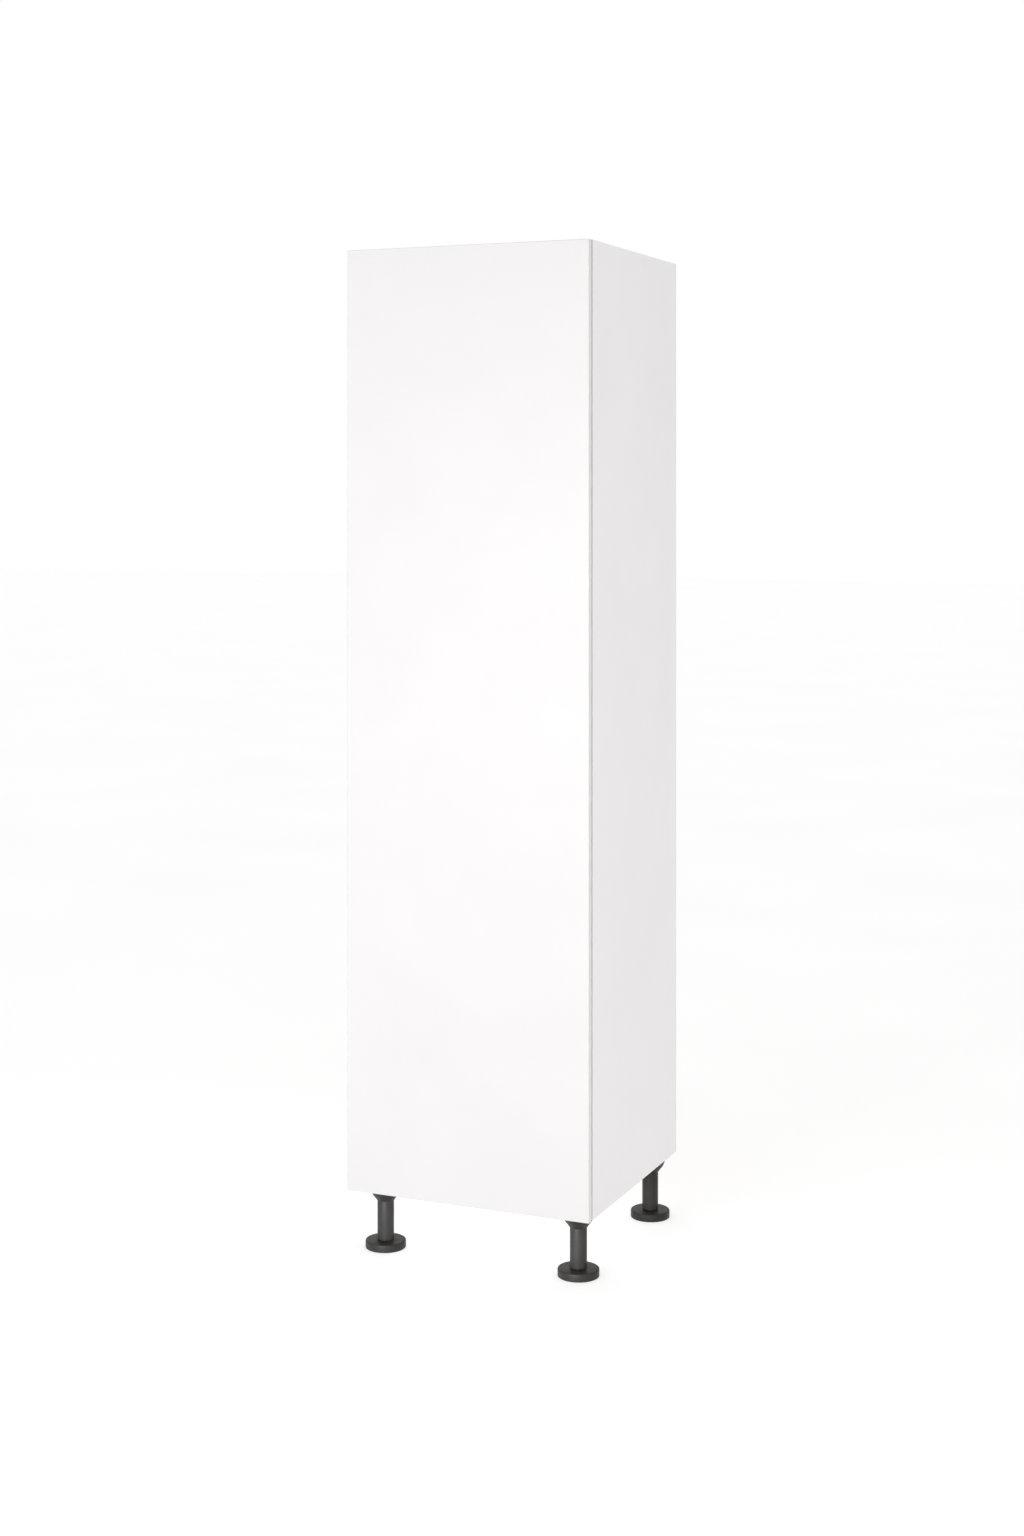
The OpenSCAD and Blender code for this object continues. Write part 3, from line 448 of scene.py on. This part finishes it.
def softened(node, radius, segments=2):
    """A copy of a CAD node with its sharp edges rounded, as stamping, casting or moulding leaves them."""
    piece = merged_copy(node)
    bpy.ops.mesh.dissolve_limited(angle_limit=math.radians(FLAT_ANGLE))
    bpy.ops.object.mode_set(mode="OBJECT")
    edges = piece.modifiers.new("Rounded edges", "BEVEL")
    edges.width = radius * MM
    edges.segments = segments
    edges.limit_method = "ANGLE"
    edges.angle_limit = math.radians(SHARP_ANGLE)
    pick(piece)
    bpy.ops.object.modifier_apply(modifier=edges.name)
    edit(piece, "polygons", lambda face: True)
    bpy.ops.mesh.dissolve_degenerate(threshold=CAD_WELD)
    return smooth(piece)


def copy_to(model, place):
    """A copy of a model with its own mesh, set at its place."""
    pick(model)
    bpy.ops.object.duplicate(linked=False)
    piece = bpy.context.object
    piece.location = place
    return settle(piece)


def remove(*pieces):
    """Deletes models that were only there to be copied."""
    for piece in pieces:
        bpy.data.objects.remove(piece)


def joined(pieces):
    """Several pieces as one object."""
    pick(pieces[0])
    for piece in pieces[1:]:
        piece.select_set(True)
    if len(pieces) > 1:
        bpy.ops.object.join()
    return pieces[0]


def dress(piece, name, body, slot, *nodes):
    """Names a finished piece, gives it its finish, and puts it on its body in the place of its CAD nodes."""
    pick(piece)
    piece.name = name
    piece.data.name = name
    piece.data.materials.clear()
    piece.data.materials.append(finishes[slot])
    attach(piece, body)
    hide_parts(*nodes)
    return piece


# Settings


class CabinetSizes(bpy.types.PropertyGroup):
    """Sizes of the rounded forms that the looks add."""

    band_radius: bpy.props.FloatProperty(
        name="Band edge", description="Radius of the door bands' outer edges", default=0.8 * MM, min=0.2 * MM,
        max=0.95 * MM, subtype="DISTANCE", unit="LENGTH")
    disc_height: bpy.props.FloatProperty(
        name="Foot disc height", description="Height of the foot's disc", default=18 * MM, min=12 * MM,
        max=24 * MM, subtype="DISTANCE", unit="LENGTH")
    shoulder: bpy.props.FloatProperty(
        name="Foot shoulder", description="Radius of the foot disc's upper edge", default=3 * MM, min=1 * MM,
        max=8 * MM, subtype="DISTANCE", unit="LENGTH")
    thread_pitch: bpy.props.FloatProperty(
        name="Thread pitch", description="Rise of the foot's thread in one turn", default=4 * MM, min=2 * MM,
        max=6 * MM, subtype="DISTANCE", unit="LENGTH")


class CabinetColours(bpy.types.PropertyGroup):
    """Colours and gloss of the cabinet, and strength of the light."""

    board: bpy.props.FloatVectorProperty(
        name="Board", description="Colour of the carcass and shelf boards", default=linear("#F5F3F3"), size=4,
        min=0, max=1, subtype="COLOR")
    door: bpy.props.FloatVectorProperty(
        name="Door", description="Colour of the door", default=linear("#F6F4F4"), size=4, min=0, max=1,
        subtype="COLOR")
    band: bpy.props.FloatVectorProperty(
        name="Edge band", description="Colour of the edge bands", default=linear("#E6E5E4"), size=4,
        min=0, max=1, subtype="COLOR")
    # The sockets and feet take this colour darkened, as painted shade.
    leg: bpy.props.FloatVectorProperty(
        name="Legs", description="Colour of the legs' columns. Sockets and feet are a shade darker",
        default=linear("#302F2E"), size=4, min=0, max=1, subtype="COLOR")
    board_gloss: bpy.props.FloatProperty(
        name="Board roughness", description="Roughness of the melamine", default=0.45, min=0.1, max=0.9,
        subtype="FACTOR")
    key_power: bpy.props.FloatProperty(
        name="Key light", description="Power of the soft light before the cabinet", default=23, min=0,
        unit="POWER")
    fill_power: bpy.props.FloatProperty(
        name="Fill light", description="Power of the soft light to the right", default=19, min=0,
        unit="POWER")
    low_power: bpy.props.FloatProperty(
        name="Low light", description="Power of the low soft light on the legs", default=130, min=0,
        unit="POWER")


# The pieces


class CABINET_OT_finishes(bpy.types.Operator):
    """Makes every finish and gives the CAD nodes theirs"""

    bl_idname = "cabinet.finishes"
    bl_label = "Finishes"

    def execute(self, context):
        colours = context.scene.cabinet_colours
        board, door, band, leg = (tuple(c) for c in (colours.board, colours.door, colours.band, colours.leg))
        gloss = colours.board_gloss
        side_skins = sorted(abs(corner.x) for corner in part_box("side_panel_right"))
        standing = melamine("Melamine board, standing", 0, board, gloss, side_skins)
        rails = melamine("Melamine board, rail", 1, board, gloss)
        finishes.update({
            "white_board": melamine("Melamine board, lying", 2, board, gloss),
            "door_front": melamine("Melamine door front", 1, door, gloss - 0.05),
            "white_hardboard": hardboard(),
            # Plastics: colour, drift of its light, roughness, grit, depth and specular level
            "edge_band": moulded("Edge band of ABS", band, 0.97, 0.4, 5, 0.015),
            "white_plastic": moulded("Moulded white polystyrene", linear("#EEEDEA"), 0.96, 0.38, 1.2, 0.03),
            "grey_plastic": moulded("Moulded grey acetal", linear("#9A9D9F"), 0.85, 0.5, 1.0, 0.04),
            # The sockets and feet get the columns' plastic darkened as painted shade; the columns keep its
            # own colour.
            "dark_plastic": moulded("Moulded anthracite polypropylene", darker(leg, SOCKET_PAINTED_SHADE), 0.82, 0.48,
                                    1.6, 0.05, 0.25),
            "column": moulded("Anthracite polypropylene tube", leg, 0.82, 0.48, 1.6, 0.05, 0.25),
            # Metals: two shades, roughness and its drift, size and depth of the relief, and its pull
            "zinc": metal("Die cast zinc", "#B4B6B6", "#9DA0A0", 0.42, 0.06, 0.9, 0.02),
            "nickel_steel": metal("Nickel plated steel", "#DAD8D4", "#D4D2CD", 0.25, 0.015, 1.5, 0.001,
                                  (1, 8, 1)),
            "screw_steel": metal("Zinc plated steel", "#C4C8CC", "#B2B6BA", 0.32, 0.04, 0.8, 0.008),
            "beech": beech(),
            "clear_rubber": soft_rubber(),
        })
        special = {"side_panel_left": standing, "side_panel_right": standing, "wall_rail_bottom": rails,
                   "wall_rail_middle": rails, "wall_rail_top": rails}
        for name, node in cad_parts.items():
            for holder in node.material_slots:
                holder.material = special.get(name) or finishes[holder.material.name.split(".")[0]]
        return {"FINISHED"}


class CABINET_OT_bands(bpy.types.Operator):
    """Makes the edge bands of the carcass, the shelves and the door, with rounded outer edges"""

    bl_idname = "cabinet.bands"
    bl_label = "Edge bands"

    def execute(self, context):
        radius = context.scene.cabinet_sizes.band_radius
        near = 0.1 * MM
        long_edge = 10 * MM
        for node, name in (("carcass_edge_bands", "carcass_bands"), ("shelf_edge_bands", "shelf_bands")):
            strips = [block(low, high, radius * 0.6, lambda middle, run, front=low.y: middle.y < front + near)
                      for low, high in solid_boxes(node)]
            dress(joined(strips), name, "carcass", "edge_band", node)
        low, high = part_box("door_edge_bands")
        strips = []
        for band_low, band_high in solid_boxes("door_edge_bands"):
            axis = 0 if band_high.z - band_low.z > band_high.x - band_low.x else 2

            def outer(middle, run, axis=axis):
                gap = min(abs(middle[axis] - low[axis]), abs(middle[axis] - high[axis]))
                return gap < near and abs(run[2 - axis]) > long_edge

            strips.append(block(band_low, band_high, radius, outer))
        dress(joined(strips), "door_bands", "door", "edge_band", "door_edge_bands")
        return {"FINISHED"}


class CABINET_OT_legs(bpy.types.Operator):
    """Makes the four legs: sockets, columns, and feet with a threaded stem"""

    bl_idname = "cabinet.legs"
    bl_label = "Legs"

    def execute(self, context):
        sizes = context.scene.cabinet_sizes
        foot_low, foot_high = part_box("foot_front_left")
        rim = (foot_high.x - foot_low.x) / 2 / MM
        stem_top = foot_high.z / MM
        top = sizes.disc_height / MM
        shoulder = sizes.shoulder / MM
        sole = [(1, SOLE_HOLLOW), (rim - SOLE_RING - 1, SOLE_HOLLOW), (rim - SOLE_RING, 0)]
        disc = turned(sole + arc(rim - SOLE_EDGE, SOLE_EDGE, SOLE_EDGE, -90, 0, 3)
                      + arc(rim - shoulder, top - shoulder, shoulder, 0, 90)
                      + [(STEM_FLAT, top), (1, top)], 128)
        stem = turned([(STEM, top - 1), (STEM, stem_top - 1), (STEM_TIP, stem_top), (1, stem_top)], 48)
        pitch = sizes.thread_pitch / MM
        ridge = thread(top - pitch * 0.6, pitch, int((stem_top - top - 1) / pitch))
        model = joined([disc, stem, ridge])
        column_low, column_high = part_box("leg_column_front_left")
        tube = softened("leg_column_front_left", 0.9, 3)
        tube.location = -(column_low + column_high) / 2
        settle(tube)
        for leg in LEGS:
            low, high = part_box("foot_" + leg)
            foot = copy_to(model, ((low.x + high.x) / 2, (low.y + high.y) / 2, 0))
            dress(foot, leg + "_foot_and_thread", leg + "_foot", "dark_plastic", "foot_" + leg)
            low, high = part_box("leg_column_" + leg)
            column = copy_to(tube, (low + high) / 2)
            dress(column, leg + "_column", "carcass", "dark_plastic", "leg_column_" + leg)
            # The columns keep the plastic's own colour; the sockets and feet have it darkened as painted
            # shade.
            column.data.materials[0] = finishes["column"]
            socket = softened("leg_socket_" + leg, 0.5, 2)
            dress(socket, leg + "_socket", "carcass", "dark_plastic", "leg_socket_" + leg)
        remove(model, tube)
        return {"FINISHED"}


class CABINET_OT_hinges(bpy.types.Operator):
    """Rounds the hinges' plates, arms and cups, as stamping and plating leave them"""

    bl_idname = "cabinet.hinges"
    bl_label = "Hinges"

    def execute(self, context):
        for node, body, radius in (("hinge_plates", "carcass", 0.35), ("hinge_arms", "carcass", 0.3),
                                   ("hinge_cups", "door", 0.3)):
            dress(softened(node, radius), node + "_rounded", body, "nickel_steel", node)
        return {"FINISHED"}


class CABINET_OT_latches(bpy.types.Operator):
    """Makes the push latches' housings, plungers with rounded noses, and strike discs"""

    bl_idname = "cabinet.latches"
    bl_label = "Push latches"

    def execute(self, context):
        for side in ("lower", "upper"):
            housing = softened("latch_housing_" + side, 0.6, 3)
            dress(housing, side + "_housing", "carcass", "white_plastic", "latch_housing_" + side)
            low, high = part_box("latch_plunger_" + side)
            radius = (high.x - low.x) / 2 / MM
            length = (high.y - low.y) / MM
            nose = radius * 0.45
            bevel = 0.4
            rod = turned([(1, 0), (radius - bevel, 0), (radius, bevel)]
                         + arc(radius - nose, length - nose, nose, 0, 80) + [(0.6, length)], 48)
            rod.rotation_euler = (math.pi / 2, 0, 0)
            rod.location = ((low.x + high.x) / 2, high.y, (low.z + high.z) / 2)
            settle(rod)
            dress(rod, side + "_plunger_rod", side + "_plunger", "grey_plastic", "latch_plunger_" + side)
        dress(softened("latch_strikes", 0.3), "strike_discs", "door", "nickel_steel", "latch_strikes")
        return {"FINISHED"}


class CABINET_OT_small_parts(bpy.types.Operator):
    """Makes the soft bumpers, the caps over the cam locks, the locks and the shelf pins"""

    bl_idname = "cabinet.small_parts"
    bl_label = "Bumpers, caps and pins"

    def execute(self, context):
        drops = []
        for low, high in solid_boxes("door_bumpers"):
            radius = (high.x - low.x) / 2 / MM
            height = (high.y - low.y) / MM
            foot = height * 0.35
            crown = [(radius * math.cos(t), foot + (height - foot) * math.sin(t))
                     for t in (math.radians(d) for d in range(12, 84, 12))]
            dome = turned([(1, 0), (radius, 0), (radius, foot)] + crown + [(0.3, height)], 40)
            dome.rotation_euler = (-math.pi / 2, 0, 0)
            dome.location = ((low.x + high.x) / 2, low.y, (low.z + high.z) / 2)
            drops.append(settle(dome))
        dress(joined(drops), "bumper_domes", "door", "clear_rubber", "door_bumpers")
        for node, radius, slot in (("cam_caps", 0.3, "white_plastic"), ("shelf_pins", 0.35, "nickel_steel"),
                                   ("cam_locks", 0.2, "zinc")):
            dress(softened(node, radius), node + "_rounded", "carcass", slot, node)
        return {"FINISHED"}


class CABINET_OT_studio(bpy.types.Operator):
    """Sets the floor, the soft lights and the camera"""

    bl_idname = "cabinet.studio"
    bl_label = "Studio"

    def execute(self, context):
        paper = floor_paper()
        # The feet are for uneven floors, so the floor is four slabs, each at its own foot's level.
        for leg in LEGS:
            side = -1 if "left" in leg else 1
            row = -1 if "front" in leg else 1
            pick(None)
            middle = (side * FLOOR_REACH / 2, row * FLOOR_REACH / 2, -FLOOR_THICK / 2 - FLOOR_GAP)
            bpy.ops.mesh.primitive_cube_add(size=1, location=middle)
            floor = context.object
            floor.scale = (FLOOR_REACH, FLOOR_REACH, FLOOR_THICK)
            settle(floor)
            floor.name = "studio_floor_" + leg
            floor.data.materials.append(paper)
            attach(floor, leg + "_foot")
        # The sky is brightest behind the cabinet, so that its front stays a little darker than the paper.
        world = bpy.data.worlds.new("Soft studio")
        context.scene.world = world
        world.use_nodes = True
        tree = world.node_tree
        sky = tree.nodes["Background"]
        sky.inputs["Color"].default_value = (1, 1, 1, 1)
        place = add(tree, "ShaderNodeTexCoord")
        toward = add(tree, "ShaderNodeVectorMath", {"operation": "DOT_PRODUCT", 1: SKY_WAY},
                     {0: place.outputs["Generated"]})
        light = add(tree, "ShaderNodeMapRange",
                    {"From Max": SKY_FULL, "To Min": SKY_LEAST, "interpolation_type": "SMOOTHSTEP"},
                    {"Value": toward.outputs["Value"]})
        # The backdrop itself is white paper all round, whatever light it gives.
        path = add(tree, "ShaderNodeLightPath")
        seen = add(tree, "ShaderNodeMath", {"operation": "MAXIMUM"},
                   {0: light.outputs[0], 1: path.outputs["Is Camera Ray"]})
        tree.links.new(seen.outputs[0], sky.inputs["Strength"])
        # The low softbox lights the legs alone, so that their dark plastic shows its roundness.
        lit = bpy.data.collections.new("Legs in the low light")
        for leg in LEGS:
            for part in ("_foot_and_thread", "_column", "_socket"):
                lit.objects.link(bpy.data.objects[leg + part])
        colours = context.scene.cabinet_colours
        for name, (spot, aim, size), power, only in (
                ("Key softbox", KEY_LIGHT, colours.key_power, None),
                ("Fill softbox", FILL_LIGHT, colours.fill_power, None),
                ("Low softbox", LOW_LIGHT, colours.low_power, lit)):
            lamp = bpy.data.lights.new(name, "AREA")
            lamp.shape = "RECTANGLE"
            lamp.size, lamp.size_y = size
            lamp.energy = power
            holder = bpy.data.objects.new(name, lamp)
            context.scene.collection.objects.link(holder)
            holder.location = spot
            holder.rotation_euler = (Vector(aim) - Vector(spot)).to_track_quat("-Z", "Y").to_euler()
            holder.visible_camera = False
            holder.light_linking.receiver_collection = only
        eye = bpy.data.cameras.new("Photo camera")
        eye.sensor_width = 36
        eye.lens = EYE_LENS
        eye.shift_y = EYE_SHIFT
        holder = bpy.data.objects.new("Photo camera", eye)
        context.scene.collection.objects.link(holder)
        holder.location = EYE
        holder.rotation_euler = (math.pi / 2, 0, math.radians(EYE_TURN))
        context.scene.camera = holder
        context.scene.view_settings.view_transform = "Standard"
        return {"FINISHED"}


class CABINET_PT_panel(bpy.types.Panel):
    """The cabinet's settings and pieces, each piece with its button"""

    bl_idname = "CABINET_PT_panel"
    bl_label = "Tall kitchen cabinet"
    bl_space_type = "VIEW_3D"
    bl_region_type = "UI"
    bl_category = "Cabinet"

    def draw(self, context):
        for group in (context.scene.cabinet_sizes, context.scene.cabinet_colours):
            for name in group.__annotations__:
                self.layout.prop(group, name)
        for operator in OPERATORS:
            self.layout.operator(operator.bl_idname)


OPERATORS = (CABINET_OT_finishes, CABINET_OT_bands, CABINET_OT_legs, CABINET_OT_hinges, CABINET_OT_latches,
             CABINET_OT_small_parts, CABINET_OT_studio)
CLASSES = (CabinetSizes, CabinetColours) + OPERATORS + (CABINET_PT_panel,)


def register():
    for item in CLASSES:
        bpy.utils.register_class(item)
    bpy.types.Scene.cabinet_sizes = bpy.props.PointerProperty(type=CabinetSizes)
    bpy.types.Scene.cabinet_colours = bpy.props.PointerProperty(type=CabinetColours)


def unregister():
    del bpy.types.Scene.cabinet_sizes
    del bpy.types.Scene.cabinet_colours
    for item in reversed(CLASSES):
        bpy.utils.unregister_class(item)


def main():
    """Registers the classes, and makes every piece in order."""
    register()
    for operator in OPERATORS:
        group, name = operator.bl_idname.split(".")
        getattr(getattr(bpy.ops, group), name)()
    pick(None)


if __name__ == "__main__":
    main()
